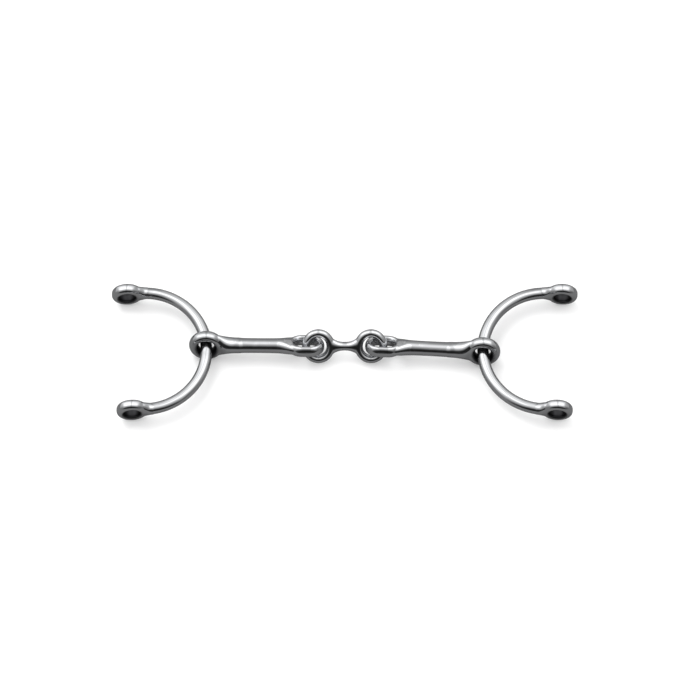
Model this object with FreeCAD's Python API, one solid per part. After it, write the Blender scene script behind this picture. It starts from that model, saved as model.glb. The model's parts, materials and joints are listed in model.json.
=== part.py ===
import FreeCAD, Part
import math
import os

V = FreeCAD.Vector
X_AXIS = V(1, 0, 0)
Y_AXIS = V(0, 1, 0)
Z_AXIS = V(0, 0, 1)
ORIGIN = V(0, 0, 0)

# Layout in millimetres. X runs along the mouthpiece, Y across it, Z up from the ground.
BAR_X = 70.5             # middle of the link to the middle of each cheek bar
MOUTH_Y = 2.9            # the mouthpiece axis sits this far behind the middle
CHEEK_Y = 2.2            # the middle of each cheek bar sits this far behind the middle
AXIS_Z = 8.5             # height of the cheek bars and the cannons
LINK_Z = 8.35            # height of the link axis
CHEEK_TURN = 3.6         # degrees, front eyes turned in towards the mouthpiece
CANNON_ROLL = 30.0       # degrees, front strand of each loop raised
LINK_TILT = 45.0         # degrees, back edge of the link raised
FOLD_X = 16.7            # middle of the link to the line each cannon folds about
LEFT_FOLD = -0.6         # degrees about Z, the left outer eye lies a little back
RIGHT_FOLD = -3.2        # degrees about Z, the right outer eye lies to the front

# Cheeks: an open half ring of round bar with an eye on each tip.
BAR_R = 2.9
TIP_DEPTH = 39.2         # bar to the line through the two eyes
TIP_HALF = 33.1          # half the distance between the eye centres
TIP_BORE_R = 4.2
TIP_WALL_HALF = 1.9      # half the straight part of the bore
TIP_RIM_R = 5.9          # radius of the crest of each lip
TIP_HALF_LEN = 2.7
TIP_OUTER_R = 7.7
LIP_BULGE = 0.72         # roundness of the lips, 0.7071 is elliptical
# Arm of each tip as (distance from the eye, half Y, half Z).
ARM_FLARE = [(10.6, 2.97, 2.97), (8.8, 2.97, 3.4), (7.2, 2.97, 4.5), (5.6, 2.7, 5.3)]
BAR_END = 7.6            # the plain bar runs this close to the eye centre, inside the arm

# Cannons: outer eye, tapered round body, inner loop nearly at right angles to the eye.
EYE_R = 6.4              # section centre of the outer eye
EYE_WALL = 2.35          # half the radial thickness of the outer eye
EYE_HALF_LEN = 2.85      # half the width of the outer eye along its hole
EYE_TWIST = 12.0         # degrees short of a right angle between the eye and the loop
LOOP_X = 53.1            # outer eye to the centre of the inner bend of the loop
LOOP_STRAIGHT = 4.6
LOOP_R = 5.4
LOOP_WALL = 1.6          # half the thickness of the loop seen from above
LOOP_HALF_H = 2.9        # half the height of the loop strands
# Body as (distance from the outer eye, radius).
BODY_PROFILE = [(10.0, 4.05), (14.0, 3.88), (19.0, 3.76), (25.0, 3.7), (33.0, 3.75),
                (40.0, 3.87)]
# Blends of the body into the eye and the loop as (distance, half Y, half Z).
EYE_FLARE = [(5.2, 2.5, 6.6), (7.0, 3.1, 6.2), (9.0, 3.8, 5.2), (11.5, 4.06, 4.38),
             (14.5, 3.94, 4.02), (18.0, 3.82, 3.83)]
LOOP_FLARE = [(34.5, 3.75, 3.75), (38.5, 4.1, 3.72), (41.5, 5.0, 3.45), (43.8, 5.7, 3.05),
              (46.2, 6.0, 2.5)]
LOOP_FULLNESS = 0.7      # 1 keeps the end of that blend elliptical, less fills its corners

# Centre link: two oval eyes on a short waist.
RING_X = 13.4
RING_A = 6.25            # centre line of the eye, along the mouthpiece
RING_B = 6.9             # centre line of the eye, across the mouthpiece
RING_TUBE = 2.05
# Waist as (distance from the middle, half Y, half Z), used on both sides.
WAIST = [(0.0, 2.15, 2.1), (2.6, 2.4, 2.1), (4.8, 3.25, 2.08), (6.6, 4.35, 2.05),
         (8.0, 5.15, 1.95)]


def strand(stations, fullness=1.0):
    """Solid along X through oval stations, the last of them as full as told."""
    rails = []
    first_x = stations[0][0]
    run = stations[-1][0] - first_x
    for x, half_y, half_z in stations:
        power = 1.0 + (fullness - 1.0) * (x - first_x) / run
        points = []
        for index in range(24):
            angle = math.radians(15.0 * index)
            y = math.copysign(abs(math.cos(angle)) ** power, math.cos(angle))
            z = math.copysign(abs(math.sin(angle)) ** power, math.sin(angle))
            points.append(V(x, y * half_y, z * half_z))
        curve = Part.BSplineCurve()
        curve.interpolate(points, True)
        rails.append(Part.Wire(curve.toShape()))
    return Part.makeLoft(rails, True, False)


def turned_body():
    """Round body of a cannon, revolved about X."""
    curve = Part.BSplineCurve()
    curve.interpolate([V(x, 0, r) for x, r in BODY_PROFILE])
    near_x, near_r = BODY_PROFILE[0]
    far_x, far_r = BODY_PROFILE[-1]
    edges = [
        curve.toShape(),
        Part.makeLine(V(far_x, 0, far_r), V(far_x, 0, 0)),
        Part.makeLine(V(far_x, 0, 0), V(near_x, 0, 0)),
        Part.makeLine(V(near_x, 0, 0), V(near_x, 0, near_r)),
    ]
    return Part.Face(Part.Wire(edges)).revolve(ORIGIN, X_AXIS, 360)


def tip_eye():
    """Ring about Y with a straight bore and rounded lips."""
    inner_r = TIP_RIM_R - (TIP_RIM_R - TIP_BORE_R) * LIP_BULGE
    inner_y = TIP_WALL_HALF + (TIP_HALF_LEN - TIP_WALL_HALF) * LIP_BULGE
    outer_r = TIP_RIM_R + (TIP_OUTER_R - TIP_RIM_R) * LIP_BULGE
    outer_y = TIP_HALF_LEN * LIP_BULGE
    back_wall = V(TIP_BORE_R, TIP_WALL_HALF, 0)
    front_wall = V(TIP_BORE_R, -TIP_WALL_HALF, 0)
    back_rim = V(TIP_RIM_R, TIP_HALF_LEN, 0)
    front_rim = V(TIP_RIM_R, -TIP_HALF_LEN, 0)
    crest = V(TIP_OUTER_R, 0, 0)
    edges = [
        Part.makeLine(front_wall, back_wall),
        Part.Arc(back_wall, V(inner_r, inner_y, 0), back_rim).toShape(),
        Part.Arc(back_rim, V(outer_r, outer_y, 0), crest).toShape(),
        Part.Arc(crest, V(outer_r, -outer_y, 0), front_rim).toShape(),
        Part.Arc(front_rim, V(inner_r, -inner_y, 0), front_wall).toShape(),
    ]
    return Part.Face(Part.Wire(edges)).revolve(ORIGIN, Y_AXIS, 360)


def cheek_tip():
    """Eye and flared arm, the arm leaving along +X."""
    eye = tip_eye()
    arm = strand(ARM_FLARE[::-1])
    core = Part.makeCylinder(TIP_RIM_R, 2 * TIP_HALF_LEN, V(0, -TIP_HALF_LEN, 0), Y_AXIS)
    return eye.fuse(arm).cut(core.cut(eye))


def cheek_bar():
    """Round bar bent into half an oval, its ends parallel to X."""
    reach = TIP_DEPTH - BAR_END
    oval = Part.Ellipse(V(-reach, TIP_HALF, 0), ORIGIN, V(-reach, 0, 0))
    path = oval.toShape(0, math.pi)
    section = Part.Wire(Part.Circle(path.Vertexes[0].Point, X_AXIS, BAR_R).toShape())
    return Part.Wire(path).makePipeShell([section], True, True)


def cannon_eye():
    """Ring about Y with flared mouths."""
    section = Part.Ellipse(V(EYE_R, EYE_HALF_LEN, 0), V(EYE_R - EYE_WALL, 0, 0), V(EYE_R, 0, 0))
    face = Part.Face(Part.Wire(section.toShape()))
    return face.revolve(ORIGIN, Y_AXIS, 360)


def loop_strand(y, length):
    """Straight strand of a loop along X, starting at the origin."""
    section = Part.Ellipse(V(0, y, LOOP_HALF_H), V(0, y + LOOP_WALL, 0), V(0, y, 0))
    return Part.Face(Part.Wire(section.toShape())).extrude(V(length, 0, 0))


def loop_bend(x, start):
    """Half ring about Z at x; start is the side it leaves from."""
    section = Part.Ellipse(V(x, start * LOOP_R, LOOP_HALF_H),
                           V(x, start * (LOOP_R + LOOP_WALL), 0), V(x, start * LOOP_R, 0))
    face = Part.Face(Part.Wire(section.toShape()))
    return face.revolve(V(x, 0, 0), Z_AXIS, 180)


def cannon_loop():
    """Long ring lying in the XY plane."""
    heel_x = LOOP_X - LOOP_STRAIGHT
    parts = [loop_bend(heel_x, 1)]
    for side in (-1, 1):
        strand = loop_strand(side * LOOP_R, LOOP_STRAIGHT)
        strand.translate(V(heel_x, 0, 0))
        parts.append(strand)
    return loop_bend(LOOP_X, -1).fuse(parts)


def loop_slot(loop):
    """The air inside the loop."""
    heel_x = LOOP_X - LOOP_STRAIGHT
    height = 2 * LOOP_HALF_H
    base = -LOOP_HALF_H
    box = Part.makeBox(LOOP_STRAIGHT, 2 * LOOP_R, height, V(heel_x, -LOOP_R, base))
    heel = Part.makeCylinder(LOOP_R, height, V(heel_x, 0, base), Z_AXIS)
    toe = Part.makeCylinder(LOOP_R, height, V(LOOP_X, 0, base), Z_AXIS)
    return box.fuse([heel, toe]).cut(loop)


def build_cannon():
    """Left cannon along +X with its outer eye at the origin."""
    eye = cannon_eye()
    core = Part.makeCylinder(EYE_R, 2 * EYE_HALF_LEN, V(0, -EYE_HALF_LEN, 0), Y_AXIS)
    hole = core.cut(eye)
    trumpet = strand(EYE_FLARE)
    for part in (eye, hole, trumpet):
        part.rotate(ORIGIN, X_AXIS, EYE_TWIST)
    loop = cannon_loop()
    body = turned_body().fuse([trumpet, strand(LOOP_FLARE, LOOP_FULLNESS)])
    whole = eye.fuse([body, loop])
    return whole.cut(hole).cut(loop_slot(loop))


def link_ring():
    """Oval eye about Z, swept from a round section."""
    path = Part.Ellipse(V(0, RING_B, 0), V(RING_A, 0, 0), ORIGIN).toShape()
    start = path.Vertexes[0].Point
    section = Part.Wire(Part.Circle(start, X_AXIS, RING_TUBE).toShape())
    return Part.Wire(path).makePipeShell([section], True, True)


def build_link():
    """Two oval eyes and the waist between them, lying in the XY plane."""
    stations = [(-x, y, z) for x, y, z in WAIST[:0:-1]] + WAIST
    link = strand(stations)
    for side in (-1, 1):
        ring = link_ring()
        edge = Part.Ellipse(V(0, RING_B, 0), V(RING_A, 0, 0), ORIGIN).toShape()
        disc = Part.Face(Part.Wire(edge)).extrude(V(0, 0, 2 * RING_TUBE))
        disc.translate(V(0, 0, -RING_TUBE))
        core = disc.cut(ring)
        ring.translate(V(side * RING_X, 0, 0))
        core.translate(V(side * RING_X, 0, 0))
        link = link.fuse(ring).cut(core)
    return link


def build_cheek():
    """Left cheek, bent away from the mouthpiece with its bar at the origin."""
    tip = cheek_tip()
    cheek = cheek_bar()
    for side in (-1, 1):
        end = tip.copy()
        end.translate(V(-TIP_DEPTH, side * TIP_HALF, 0))
        cheek = cheek.fuse(end)
    return cheek


def mirrored(shape):
    """The right-hand twin of a left-hand piece."""
    return shape.mirror(ORIGIN, X_AXIS)


def main():
    cheek = build_cheek()
    cheek.rotate(ORIGIN, Z_AXIS, CHEEK_TURN)
    cheek.translate(V(-BAR_X, CHEEK_Y, AXIS_Z))

    cannon = build_cannon()
    cannon.rotate(ORIGIN, X_AXIS, -CANNON_ROLL)
    cannon.translate(V(-BAR_X, MOUTH_Y, AXIS_Z))
    right_cannon = mirrored(cannon)
    cannon.rotate(V(-FOLD_X, MOUTH_Y, 0), Z_AXIS, LEFT_FOLD)
    right_cannon.rotate(V(FOLD_X, MOUTH_Y, 0), Z_AXIS, RIGHT_FOLD)

    link = build_link()
    link.rotate(ORIGIN, X_AXIS, LINK_TILT)
    link.translate(V(0, MOUTH_Y, LINK_Z))

    pieces = {
        "left_cheek": cheek,
        "left_cannon": cannon,
        "centre_link": link,
        "right_cannon": right_cannon,
        "right_cheek": mirrored(cheek),
    }
    os.makedirs("parts", exist_ok=True)
    for name, shape in pieces.items():
        box = shape.optimalBoundingBox(False, False)
        limits = [box.XMin, box.XMax, box.YMin, box.YMax, box.ZMin, box.ZMax]
        print(name, len(shape.Solids), shape.isValid(), [round(value, 2) for value in limits])
        shape.Solids[0].exportStep("parts/" + name + ".step")


main()
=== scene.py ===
import json
import math

import bpy
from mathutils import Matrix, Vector


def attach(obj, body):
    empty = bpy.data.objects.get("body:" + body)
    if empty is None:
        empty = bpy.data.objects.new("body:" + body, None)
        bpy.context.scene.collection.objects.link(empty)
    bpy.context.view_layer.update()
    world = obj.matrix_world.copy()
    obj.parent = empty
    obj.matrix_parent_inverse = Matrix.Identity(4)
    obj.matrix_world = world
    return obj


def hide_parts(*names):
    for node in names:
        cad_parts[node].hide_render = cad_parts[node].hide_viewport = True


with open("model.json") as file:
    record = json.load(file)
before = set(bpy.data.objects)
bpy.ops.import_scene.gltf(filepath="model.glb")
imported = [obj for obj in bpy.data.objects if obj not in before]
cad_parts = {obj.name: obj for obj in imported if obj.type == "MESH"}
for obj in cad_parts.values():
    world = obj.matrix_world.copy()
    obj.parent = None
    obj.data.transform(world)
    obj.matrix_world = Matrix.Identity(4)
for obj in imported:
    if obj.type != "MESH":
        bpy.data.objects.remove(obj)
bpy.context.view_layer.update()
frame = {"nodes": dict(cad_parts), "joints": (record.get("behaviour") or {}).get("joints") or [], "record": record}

# Sizes in metres unless the name says otherwise.

# Melting the hard joins of the CAD shapes.
WELD_DISTANCE = 0.000002
VOXEL = 0.00024
SMOOTH_STEPS = 26
SMOOTH_LOSS = 0.00009        # smoothing draws the surface in by this much

# The circle that each cheek bar nearly follows.
CHEEK_ARC_X = 0.1020
CHEEK_ARC_Y = 0.0002
CHEEK_ARC_RADIUS = 0.033

# Rubbed places as two distances from their middle: fully rubbed within, not at all beyond.
CHEEK_BAR_WEAR = (0.0040, 0.0110)
CANNON_EYE_WEAR = (0.0036, 0.0062)
CANNON_LOOP_WEAR = (0.0040, 0.0078)
LINK_EYE_WEAR = (0.0040, 0.0072)
# Middle of the bit to the middle of the rubbing in each cannon's loop and in each eye of the link.
LOOP_WEAR_X = 0.0195
LINK_WEAR_X = 0.0150

# Bores painted near-black as painted shade, and made rougher, as two distances from their axis, in the same way.
TIP_BORE = (0.0045, 0.0056)
CANNON_BORE = (0.0047, 0.0066)

POLISHED = (0.775, 0.783, 0.80, 1.0)
RUBBED = (0.52, 0.525, 0.535, 1.0)
# Near-black painted into the bores: painted shade for the dark holes.
BORE_PAINTED_SHADE = (0.045, 0.045, 0.048, 1.0)

# Texture scales, and the heights of their bumps.
BUFFING_SCALE = (260.0, 5200.0, 5200.0)
BUFFING_HEIGHT = 0.0000022
SCRATCH_SCALE = (1900.0, 420.0, 900.0)
SCRATCH_HEIGHT = 0.000002
WAVE_SCALE = 95.0
WAVE_HEIGHT = 0.00028
PATCH_SCALE = 210.0

# Roughness of the best and the dullest patches of the polish, and what lines, wear and bores add.
POLISH_ROUGHNESS = (0.025, 0.055)
BUFFING_ROUGHNESS = 0.03
WORN_ROUGHNESS = 0.10
BORE_ROUGHNESS = 0.25

# How far wear and the duller patches of the polish turn the colour from POLISHED to RUBBED.
WORN_SHADE = 0.45
PATCH_SHADE = 0.15

CAMERA_ELEVATION = math.radians(63.0)
CAMERA_LENS_MM = 200.0
CAMERA_SENSOR_MM = 36.0
CAMERA_TARGET = Vector((0.0027, 0.00015, 0.00945))
CAMERA_NEAR = 0.05
CAMERA_FAR = 30.0
FRAME_WIDTH = 0.3563

FLOOR_SIZE = 12.0
PAPER = (0.93, 0.93, 0.93, 1.0)
PAPER_GRAIN_SCALE = 60.0
PAPER_ROUGHNESS = (0.55, 0.65)
PAPER_GLOSS = 0.1
# Grey that the steel mirrors in place of the white floor: painted shade in the floor's reflection.
FLOOR_IN_STEEL = (0.135, 0.135, 0.135, 1.0)

# Strengths of what shows behind the floor, of the room's light and of what the steel mirrors.
WHITE = (1.0, 1.0, 1.0, 1.0)
BACKDROP_LIGHT = 1.0
ROOM_LIGHT = 1.26
STEEL_SKY = 1.6
# Brightness mirrored by the steel against the lean from straight up, in degrees: -90 is level to
# the back and 90 level to the front.
ARCH_LIGHT = [(-90.0, 0.24), (-68.0, 0.28), (-48.0, 0.40), (-31.0, 0.76), (-20.0, 0.98), (-8.0, 0.98),
              (2.0, 0.84), (13.0, 0.50), (27.0, 0.30), (38.0, 0.16), (47.0, 0.04), (58.0, 0.010),
              (76.0, 0.010), (90.0, 0.05)]
# The factor on it against the direction across, from left at -1 to right at 1, with a dimmer strip
# in the middle.
SIDE_LIGHT = [(-1.0, 0.25), (-0.88, 0.40), (-0.78, 0.80), (-0.6, 1.0), (-0.12, 1.0), (-0.04, 0.66),
              (0.04, 0.66), (0.12, 1.0), (0.5, 0.95), (0.66, 0.80), (0.8, 0.35), (1.0, 0.20)]

KEY_PLACE = Vector((-0.55, 0.65, 1.15))
KEY_SIZE = 0.9
KEY_WATTS = 8.0


def forged(name, node):
    """The CAD shape with its hard joins melted into the soft blends of a polished forging."""
    mesh = frame["nodes"][node].data.copy()
    mesh.name = name
    mesh.materials.clear()
    piece = bpy.data.objects.new(name, mesh)
    bpy.context.collection.objects.link(piece)
    weld = piece.modifiers.new("weld", "WELD")
    weld.merge_threshold = WELD_DISTANCE
    remesh = piece.modifiers.new("remesh", "REMESH")
    remesh.mode = "VOXEL"
    remesh.voxel_size = VOXEL
    smooth = piece.modifiers.new("smooth", "SMOOTH")
    smooth.factor = 0.5
    smooth.iterations = SMOOTH_STEPS
    grow = piece.modifiers.new("grow", "DISPLACE")
    grow.strength = SMOOTH_LOSS
    grow.mid_level = 0.0
    depsgraph = bpy.context.evaluated_depsgraph_get()
    baked = bpy.data.meshes.new_from_object(piece.evaluated_get(depsgraph))
    piece.modifiers.clear()
    piece.data = baked
    baked.shade_smooth()
    return piece


class Graph:
    """Short calls for building one tree of shader nodes."""

    def __init__(self, tree):
        self.tree = tree

    def add(self, kind, **values):
        node = self.tree.nodes.new(kind)
        for key, value in values.items():
            setattr(node, key, value)
        return node

    def link(self, source, target):
        self.tree.links.new(source, target)

    def fill(self, value, socket):
        """Sets the socket to a number or colour, or links it to another socket."""
        if isinstance(value, (int, float, tuple)):
            socket.default_value = value
        else:
            self.link(value, socket)

    def math(self, operation, *values):
        node = self.add("ShaderNodeMath", operation=operation)
        for index, value in enumerate(values):
            self.fill(value, node.inputs[index])
        return node.outputs[0]

    def noise(self, vector, scale, detail, rough):
        node = self.add("ShaderNodeTexNoise")
        node.inputs["Scale"].default_value = scale
        node.inputs["Detail"].default_value = detail
        node.inputs["Roughness"].default_value = rough
        self.link(vector, node.inputs["Vector"])
        return node.outputs["Fac"]

    def stretch(self, vector, scale):
        node = self.add("ShaderNodeMapping")
        node.inputs["Scale"].default_value = scale
        self.link(vector, node.inputs["Vector"])
        return node.outputs["Vector"]

    def spread(self, value, source, result):
        """Maps the range source to the range result with a smooth step, and holds beyond its ends."""
        node = self.add("ShaderNodeMapRange", interpolation_type="SMOOTHSTEP")
        node.inputs["From Min"].default_value, node.inputs["From Max"].default_value = source
        node.inputs["To Min"].default_value, node.inputs["To Max"].default_value = result
        self.link(value, node.inputs["Value"])
        return node.outputs["Result"]

    def ramp(self, value, stops):
        """A colour ramp from (position, brightness) stops."""
        node = self.add("ShaderNodeValToRGB")
        elements = node.color_ramp.elements
        elements.remove(elements[0])
        first_position, first_level = stops[0]
        elements[0].position = first_position
        elements[0].color = (first_level, first_level, first_level, 1.0)
        for position, level in stops[1:]:
            elements.new(position).color = (level, level, level, 1.0)
        self.link(value, node.inputs["Fac"])
        return node.outputs["Color"]

    def mix_colours(self, factor, first, second):
        node = self.add("ShaderNodeMix", data_type="RGBA")
        self.link(factor, node.inputs["Factor"])
        self.fill(first, node.inputs["A"])
        self.fill(second, node.inputs["B"])
        return node.outputs["Result"]

    def mix_shaders(self, factor, first, second):
        node = self.add("ShaderNodeMixShader")
        self.link(factor, node.inputs["Fac"])
        self.link(first, node.inputs[1])
        self.link(second, node.inputs[2])
        return node.outputs["Shader"]

    def bump(self, height, distance, normal=None):
        node = self.add("ShaderNodeBump")
        node.inputs["Strength"].default_value = 1.0
        node.inputs["Distance"].default_value = distance
        self.link(height, node.inputs["Height"])
        if normal is not None:
            self.link(normal, node.inputs["Normal"])
        return node.outputs["Normal"]

    def near(self, vector, point, inner, outer):
        """1 at point, fading to 0 between the two distances."""
        node = self.add("ShaderNodeVectorMath", operation="DISTANCE")
        self.link(vector, node.inputs[0])
        node.inputs[1].default_value = point
        return self.spread(node.outputs["Value"], (inner, outer), (1.0, 0.0))

    def bore(self, vector, point, axis, inner, outer):
        """1 on the axis through point, fading to 0 between the two distances from it.

        Along the axis it fades between twice those distances from point.
        """
        away = self.add("ShaderNodeVectorMath", operation="SUBTRACT")
        self.link(vector, away.inputs[0])
        away.inputs[1].default_value = point
        across = self.add("ShaderNodeVectorMath", operation="CROSS_PRODUCT")
        self.link(away.outputs["Vector"], across.inputs[0])
        across.inputs[1].default_value = axis
        length = self.add("ShaderNodeVectorMath", operation="LENGTH")
        self.link(across.outputs["Vector"], length.inputs[0])
        beside = self.spread(length.outputs["Value"], (inner, outer), (1.0, 0.0))
        return self.math("MULTIPLY", beside, self.near(vector, point, 2.0 * inner, 2.0 * outer))

    def largest(self, masks):
        top = masks[0]
        for mask in masks[1:]:
            top = self.math("MAXIMUM", top, mask)
        return top


def new_material(name):
    """A material, the graph of its nodes and its shader."""
    material = bpy.data.materials.new(name)
    material.use_nodes = True
    graph = Graph(material.node_tree)
    return material, graph, graph.tree.nodes["Principled BSDF"]


def cheek_bar_coordinates(graph, place, side):
    """Length along a cheek's arc, distance from its middle and height, so that lines follow the bar."""
    shifted = graph.add("ShaderNodeVectorMath", operation="SUBTRACT")
    graph.link(place, shifted.inputs[0])
    shifted.inputs[1].default_value = (side * CHEEK_ARC_X, CHEEK_ARC_Y, 0.0)
    parts = graph.add("ShaderNodeSeparateXYZ")
    graph.link(shifted.outputs["Vector"], parts.inputs[0])
    angle = graph.math("ARCTAN2", parts.outputs["Y"], parts.outputs["X"])
    squares = graph.math("ADD", graph.math("POWER", parts.outputs["X"], 2.0),
                         graph.math("POWER", parts.outputs["Y"], 2.0))
    joined = graph.add("ShaderNodeCombineXYZ")
    graph.link(graph.math("MULTIPLY", angle, CHEEK_ARC_RADIUS), joined.inputs["X"])
    graph.link(graph.math("SQRT", squares), joined.inputs["Y"])
    graph.link(parts.outputs["Z"], joined.inputs["Z"])
    return joined.outputs["Vector"]


def steel_surface(graph, place, lines):
    """Normals of faint waves, the buffing lines and sparse scratches."""
    waves = graph.noise(place, WAVE_SCALE, detail=1.0, rough=0.4)
    scratches = graph.noise(graph.stretch(place, SCRATCH_SCALE), 1.0, detail=4.0, rough=0.7)
    scratches = graph.spread(scratches, (0.66, 0.72), (0.0, 1.0))
    surface = graph.bump(waves, WAVE_HEIGHT)
    surface = graph.bump(lines, BUFFING_HEIGHT, surface)
    return graph.bump(scratches, SCRATCH_HEIGHT, surface)


def polished_steel(name, wear, bores=(), side=0):
    """Mirror-polished stainless steel with rubbed bearing faces, and bores painted near-black as painted shade and
    made rougher.

    wear holds a point and two distances for each rubbed place, and bores a point, an axis and two
    distances for each bore. side is -1 or 1 on the left or right cheek, whose buffing lines follow
    the bent bar.
    """
    material, graph, shader = new_material(name)
    place = graph.add("ShaderNodeTexCoord").outputs["Object"]
    along = cheek_bar_coordinates(graph, place, side) if side else place
    lines = graph.noise(graph.stretch(along, BUFFING_SCALE), 1.0, detail=3.0, rough=0.6)
    patches = graph.noise(place, PATCH_SCALE, detail=3.0, rough=0.55)
    worn = graph.math("MULTIPLY", graph.largest([graph.near(place, *rubbed) for rubbed in wear]),
                      graph.spread(patches, (0.35, 0.62), (0.35, 1.0)))

    rough = graph.math("ADD", graph.spread(patches, (0.3, 0.7), POLISH_ROUGHNESS),
                       graph.spread(lines, (0.4, 0.75), (0.0, BUFFING_ROUGHNESS)))
    rough = graph.math("ADD", rough, graph.math("MULTIPLY", worn, WORN_ROUGHNESS))
    shade = graph.math("ADD", graph.math("MULTIPLY", worn, WORN_SHADE),
                       graph.spread(patches, (0.55, 0.8), (0.0, PATCH_SHADE)))
    colour = graph.mix_colours(shade, POLISHED, RUBBED)
    if bores:
        # Painted shade: the bores are darkened towards near-black, and made rougher.
        bore_shade = graph.largest([graph.bore(place, *bore) for bore in bores])
        rough = graph.math("ADD", rough, graph.math("MULTIPLY", bore_shade, BORE_ROUGHNESS))
        colour = graph.mix_colours(bore_shade, colour, BORE_PAINTED_SHADE)

    graph.link(rough, shader.inputs["Roughness"])
    graph.link(colour, shader.inputs["Base Color"])
    graph.link(steel_surface(graph, place, lines), shader.inputs["Normal"])
    shader.inputs["Metallic"].default_value = 1.0
    return material


def make_piece(name, node, body, material):
    piece = forged(name, node)
    piece.data.materials.append(material)
    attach(piece, body)
    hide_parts(node)


def make_cheek(word, side, hinge, eyes):
    bores = [(eye["pos_m"], eye["axis"], *TIP_BORE) for eye in eyes]
    wear = [(hinge["pos_m"], *CHEEK_BAR_WEAR)]
    steel = polished_steel(word + "_cheek_steel", wear, bores, side)
    make_piece(word + "_cheek_forging", word + "_cheek", word + "_cheek", steel)


def make_cannon(word, side, hinge, fold):
    bores = [(hinge["pos_m"], hinge["axis"], *CANNON_BORE)]
    loop = (side * LOOP_WEAR_X, *fold["pos_m"][1:])
    wear = [(hinge["pos_m"], *CANNON_EYE_WEAR), (loop, *CANNON_LOOP_WEAR)]
    steel = polished_steel(word + "_cannon_steel", wear, bores)
    make_piece(word + "_cannon_forging", word + "_cannon", word + "_cannon", steel)


def make_link(folds):
    middle = (Vector(folds[0]["pos_m"]) + Vector(folds[1]["pos_m"])) / 2.0
    eyes = [middle + Vector((side * LINK_WEAR_X, 0.0, 0.0)) for side in (-1, 1)]
    steel = polished_steel("centre_link_steel", [(eye, *LINK_EYE_WEAR) for eye in eyes])
    make_piece("centre_link_forging", "centre_link", "centre_link", steel)


def make_bit():
    joints = {joint["name"]: joint for joint in frame["joints"]}
    mounts = {mount["name"]: mount for mount in frame["record"]["mounts"]}
    for word, side in (("left", -1), ("right", 1)):
        hinge = joints[word + "_cheek_turn"]
        eyes = [mounts[word + "_upper_eye"], mounts[word + "_lower_eye"]]
        make_cheek(word, side, hinge, eyes)
        make_cannon(word, side, hinge, joints[word + "_cannon_fold"])
    make_link([joints["left_cannon_fold"], joints["right_cannon_fold"]])


def make_floor():
    """White paper. Seen in the steel it is painted greyer than seen directly: painted shade in the floor's
    reflection.
    """
    bpy.ops.mesh.primitive_plane_add(size=FLOOR_SIZE, location=(0.0, 0.0, 0.0))
    floor = bpy.context.object
    floor.name = "floor"
    material, graph, paper = new_material("white_floor")
    place = graph.add("ShaderNodeTexCoord").outputs["Object"]
    grain = graph.noise(place, PAPER_GRAIN_SCALE, detail=2.0, rough=0.5)
    graph.link(graph.spread(grain, (0.3, 0.7), PAPER_ROUGHNESS), paper.inputs["Roughness"])
    paper.inputs["Base Color"].default_value = PAPER
    paper.inputs["Specular IOR Level"].default_value = PAPER_GLOSS
    # Painted shade: glossy rays see this grey instead of the white paper.
    grey = graph.add("ShaderNodeBsdfDiffuse")
    grey.inputs["Color"].default_value = FLOOR_IN_STEEL
    path = graph.add("ShaderNodeLightPath")
    mixed = graph.mix_shaders(path.outputs["Is Glossy Ray"], paper.outputs["BSDF"], grey.outputs["BSDF"])
    graph.link(mixed, graph.tree.nodes["Material Output"].inputs["Surface"])
    floor.data.materials.append(material)


def plain_light(graph, strength):
    """An even white background."""
    node = graph.add("ShaderNodeBackground")
    node.inputs["Color"].default_value = WHITE
    node.inputs["Strength"].default_value = strength
    return node.outputs["Background"]


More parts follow.
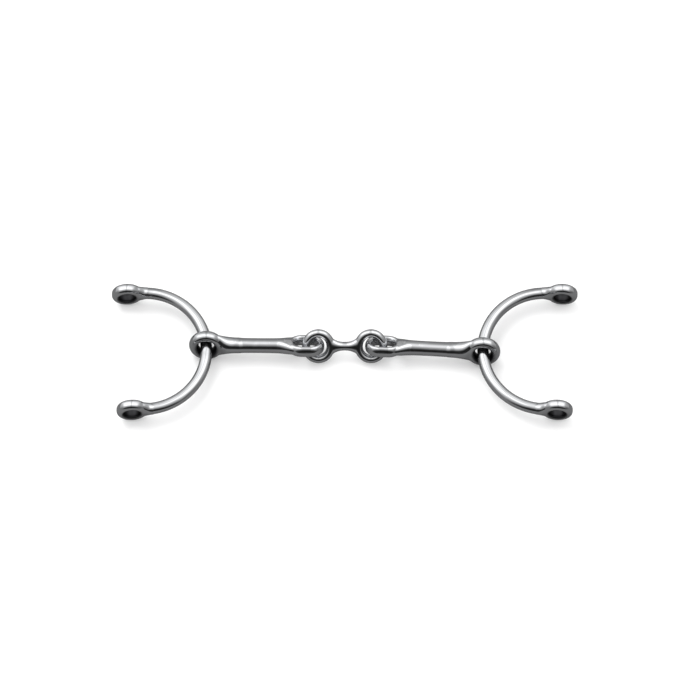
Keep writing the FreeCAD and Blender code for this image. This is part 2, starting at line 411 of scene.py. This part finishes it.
def make_world():
    """An even white room, where the steel mirrors a studio of its own instead.

    That studio is brightest overhead and a little behind, fades towards the back and the sides, and
    is dark low down in front.
    """
    world = bpy.data.worlds.new("studio")
    bpy.context.scene.world = world
    world.use_nodes = True
    graph = Graph(world.node_tree)
    parts = graph.add("ShaderNodeSeparateXYZ")
    graph.link(graph.add("ShaderNodeTexCoord").outputs["Generated"], parts.inputs[0])
    forward = graph.math("MULTIPLY_ADD", parts.outputs["Y"], -0.5, 0.5)
    arch = [(math.sin(math.radians(lean)) / 2.0 + 0.5, level) for lean, level in ARCH_LIGHT]
    across = graph.math("MULTIPLY_ADD", parts.outputs["X"], 0.5, 0.5)
    sides = [(x / 2.0 + 0.5, level) for x, level in SIDE_LIGHT]
    glow = graph.math("MULTIPLY", graph.ramp(forward, arch), graph.ramp(across, sides))
    mirrored = graph.tree.nodes["Background"]
    graph.link(glow, mirrored.inputs["Color"])
    mirrored.inputs["Strength"].default_value = STEEL_SKY
    path = graph.add("ShaderNodeLightPath")
    lit = graph.mix_shaders(path.outputs["Is Glossy Ray"], plain_light(graph, ROOM_LIGHT),
                            mirrored.outputs["Background"])
    seen = graph.mix_shaders(path.outputs["Is Camera Ray"], lit, plain_light(graph, BACKDROP_LIGHT))
    graph.link(seen, graph.tree.nodes["World Output"].inputs["Surface"])


def make_key_light():
    """A soft light from the back left that casts the shadows and isn't mirrored."""
    data = bpy.data.lights.new("key", "AREA")
    data.shape = "SQUARE"
    data.size = KEY_SIZE
    data.energy = KEY_WATTS
    light = bpy.data.objects.new("key", data)
    light.location = KEY_PLACE
    light.rotation_euler = (-KEY_PLACE).to_track_quat("-Z", "Y").to_euler()
    light.visible_glossy = False
    bpy.context.collection.objects.link(light)


def make_camera():
    data = bpy.data.cameras.new("camera")
    data.lens = CAMERA_LENS_MM
    data.sensor_width = CAMERA_SENSOR_MM
    data.clip_start = CAMERA_NEAR
    data.clip_end = CAMERA_FAR
    camera = bpy.data.objects.new("camera", data)
    distance = FRAME_WIDTH * CAMERA_LENS_MM / CAMERA_SENSOR_MM
    back = Vector((0.0, -math.cos(CAMERA_ELEVATION), math.sin(CAMERA_ELEVATION)))
    camera.location = CAMERA_TARGET + back * distance
    camera.rotation_euler = (-back).to_track_quat("-Z", "Y").to_euler()
    bpy.context.collection.objects.link(camera)
    bpy.context.scene.camera = camera


make_camera()
make_world()
make_key_light()
make_floor()
make_bit()
bpy.context.scene.view_settings.view_transform = "Standard"
